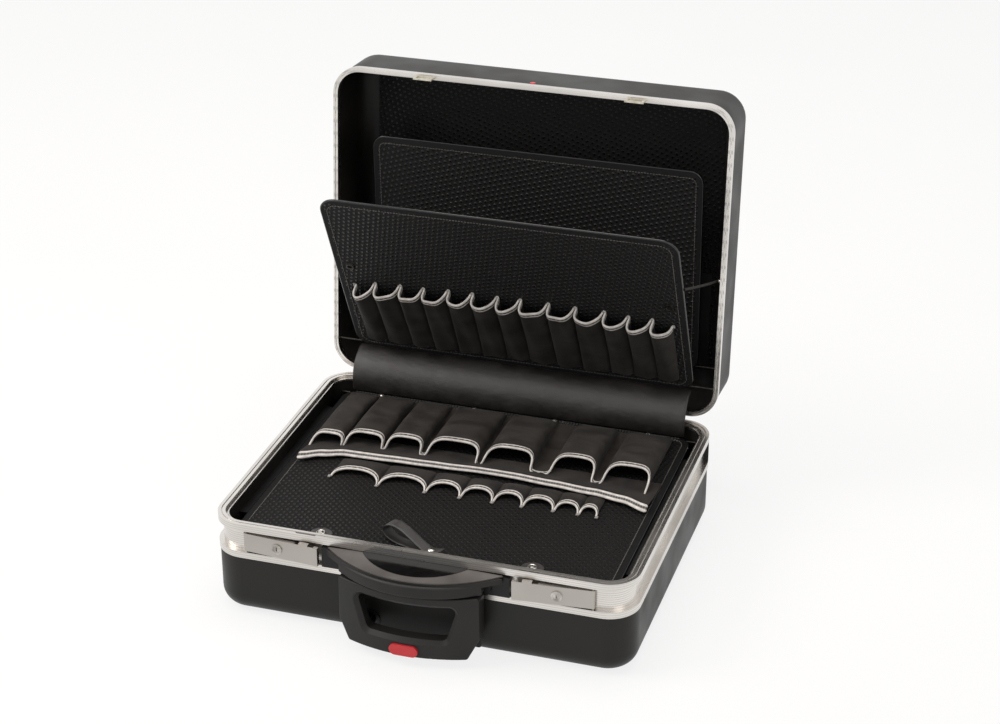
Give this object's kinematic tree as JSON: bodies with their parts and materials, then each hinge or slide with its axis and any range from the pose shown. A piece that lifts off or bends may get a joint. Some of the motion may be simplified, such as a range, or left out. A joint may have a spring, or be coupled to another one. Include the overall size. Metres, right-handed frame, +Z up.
{
  "type": "hard tool case",
  "caption": "Black moulded tool case with a metal rim, a lid hinged open, swing latches, folding pocket boards, an arched handle and a sliding pull grip.",
  "frame": {"origin": "the centre of the base's footprint on the floor", "axes": "+X to the user's right along the width, +Y to the hinge side, +Z up"},
  "size_m": [0.49, 0.5609, 0.5059],
  "materials": {
    "shell": "fine matt grain",
    "frame_metal": "drawn satin",
    "inner_plastic": "matt",
    "hinge_steel": "satin",
    "latch_metal": "satin",
    "plug_steel": "polished",
    "handle_plastic": "soft matt",
    "shield_silver": "silver paint",
    "gloss_black": "gloss",
    "tube_metal": "satin",
    "red_plastic": "semi gloss",
    "wheel_rubber": "matt",
    "liner_plastic": "dimpled",
    "striker_metal": "satin",
    "board_plastic": "dimpled, semi gloss",
    "cloth": "woven, grey binding",
    "flap_cloth": "smooth coated",
    "cord_cloth": "braided"
  },
  "bodies": {
    "base": {"base_shell": "shell", "base_frame": "frame_metal", "board_rail_front": "inner_plastic", "board_rail_left": "inner_plastic", "board_rail_right": "inner_plastic", "hinge_block_left": "inner_plastic", "hinge_block_right": "inner_plastic", "base_hinge_leaf_left": "hinge_steel", "base_hinge_leaf_right": "hinge_steel", "hinge_pins": "hinge_steel", "latch_pins": "plug_steel", "handle_mount": "inner_plastic", "carry_handle": "handle_plastic", "handle_shield": "shield_silver", "handle_plate": "gloss_black", "tube_collars": "inner_plastic", "guide_tubes": "tube_metal", "wheel_axles": "plug_steel", "base_board_pins": "plug_steel", "hinge_flap": "flap_cloth"},
    "base_board": {"base_board": "board_plastic", "wide_pockets": "cloth", "small_pockets": "cloth", "flat_pocket": "cloth", "front_tabs": "cloth", "board_snaps": "plug_steel", "pull_strap": "cloth", "strap_rivet": "plug_steel"},
    "lid": {"lid_frame": "frame_metal", "lid_shell": "shell", "lid_liner": "liner_plastic", "document_pocket": "liner_plastic", "striker_left": "striker_metal", "striker_right": "striker_metal", "lid_cap": "red_plastic", "lid_hinge_leaf_left": "hinge_steel", "lid_hinge_leaf_right": "hinge_steel", "front_board_pins": "plug_steel", "rear_board_pins": "plug_steel", "cord_pin": "plug_steel", "check_cord": "cord_cloth"},
    "lid_front_board": {"front_board": "board_plastic", "front_pockets": "cloth", "eyelets": "plug_steel"},
    "lid_rear_board": {"rear_board": "board_plastic", "rear_pockets": "cloth"},
    "latch_left": {"latch_lever_left": "latch_metal", "lock_barrel_left": "latch_metal"},
    "latch_right": {"latch_lever_right": "latch_metal", "lock_barrel_right": "latch_metal"},
    "key_left": {"lock_plug_left": "plug_steel"},
    "key_right": {"lock_plug_right": "plug_steel"},
    "pull_middle": {"middle_tubes": "tube_metal"},
    "pull_inner": {"inner_tubes": "tube_metal", "pull_grip": "handle_plastic"},
    "pull_release": {"pull_button": "red_plastic"},
    "wheel_left": {"wheel_tyre_left": "wheel_rubber", "wheel_hub_left": "inner_plastic"},
    "wheel_right": {"wheel_tyre_right": "wheel_rubber", "wheel_hub_right": "inner_plastic"}
  },
  "joints": [
    {"name": "lid_hinge", "type": "hinge", "parent": "base", "child": "lid", "pos_m": [0, 0.1964, 0.11755], "axis": [-1, 0, 0], "range_deg": [-95, 0], "deforming": ["hinge_flap"]},
    {"name": "front_board_fold", "type": "hinge", "parent": "lid", "child": "lid_front_board", "pos_m": [0, 0.20606, 0.15626], "axis": [-1, 0, 0], "range_deg": [0, 34.8], "deforming": ["check_cord"]},
    {"name": "rear_board_fold", "type": "hinge", "parent": "lid", "child": "lid_rear_board", "pos_m": [0, 0.26215, 0.15486], "axis": [-1, 0, 0], "range_deg": [0, 6.81]},
    {"name": "base_board_lift", "type": "hinge", "parent": "base", "child": "base_board", "pos_m": [0, 0.174, 0.09825], "axis": [-1, 0, 0], "range_deg": [0, 45]},
    {"name": "left_latch_swing", "type": "hinge", "parent": "base", "child": "latch_left", "pos_m": [-0.2004, -0.1907, 0.09525], "axis": [0, 0, -1], "range_deg": [-5, 70]},
    {"name": "right_latch_swing", "type": "hinge", "parent": "base", "child": "latch_right", "pos_m": [0.2004, -0.1907, 0.09525], "axis": [0, 0, 1], "range_deg": [-5, 70]},
    {"name": "left_key_turn", "type": "hinge", "parent": "latch_left", "child": "key_left", "pos_m": [-0.16138, -0.19672, 0.09525], "axis": [-0.0872, -0.9962, 0], "range_deg": [0, 90]},
    {"name": "right_key_turn", "type": "hinge", "parent": "latch_right", "child": "key_right", "pos_m": [0.16138, -0.19672, 0.09525], "axis": [0.0872, -0.9962, 0], "range_deg": [0, 90]},
    {"name": "pull_middle_slide", "type": "slide", "parent": "base", "child": "pull_middle", "axis": [0, -1, 0], "range_m": [0, 0.24]},
    {"name": "pull_inner_slide", "type": "slide", "parent": "pull_middle", "child": "pull_inner", "axis": [0, -1, 0], "range_m": [0, 0.24]},
    {"name": "pull_release_press", "type": "slide", "parent": "pull_inner", "child": "pull_release", "axis": [0, 1, 0], "range_m": [0, 0.002], "stiffness_N_per_m": 400},
    {"name": "left_wheel_spin", "type": "hinge", "parent": "base", "child": "wheel_left", "pos_m": [-0.202, 0.172, 0.0282], "axis": [1, 0, 0], "continuous": true},
    {"name": "right_wheel_spin", "type": "hinge", "parent": "base", "child": "wheel_right", "pos_m": [0.202, 0.172, 0.0282], "axis": [1, 0, 0], "continuous": true}
  ],
  "couplings": [
    {"joint": "front_board_fold", "follows": "lid_hinge", "ratio": -0.36632},
    {"joint": "rear_board_fold", "follows": "lid_hinge", "ratio": -0.071579}
  ]
}
